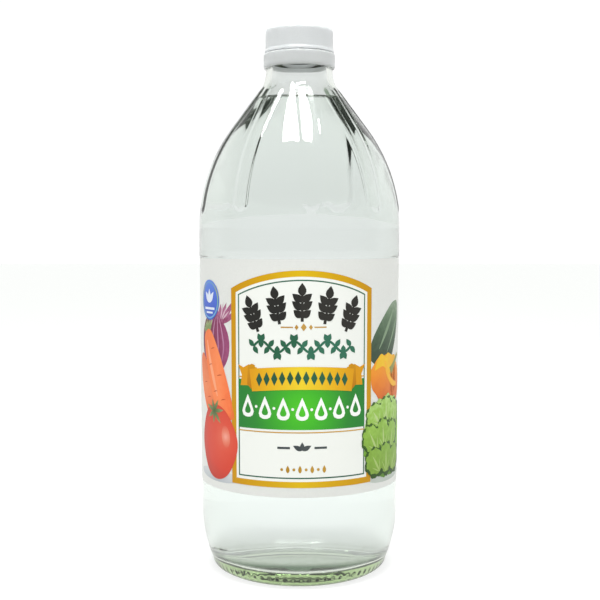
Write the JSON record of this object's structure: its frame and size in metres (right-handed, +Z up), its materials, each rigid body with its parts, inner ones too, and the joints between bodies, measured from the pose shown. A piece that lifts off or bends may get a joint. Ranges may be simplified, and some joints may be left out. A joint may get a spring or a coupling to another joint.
{
  "type": "vinegar bottle",
  "caption": "Clear glass bottle of vinegar with a fluted round shoulder, a wrap-round printed paper label and a white screw cap with its tamper band.",
  "frame": {"origin": "middle of the foot, in the plane the bottle stands on", "axes": "+Z up along the bottle's axis, -Y towards the front of the label, +X to the right seen from the front"},
  "size_m": [0.088, 0.088, 0.2369],
  "materials": {
    "clear_glass": "clear flint glass with a faint green tint, polished",
    "clear_vinegar": "water-clear liquid",
    "white_cap_plastic": "moulded white polypropylene, low sheen",
    "label_paper": "coated cream-white paper, printed in colour"
  },
  "bodies": {
    "root": {"bottle": "clear_glass", "vinegar": "clear_vinegar", "cap": "white_cap_plastic", "tamper_band": "white_cap_plastic", "label": "label_paper"}
  },
  "joints": []
}
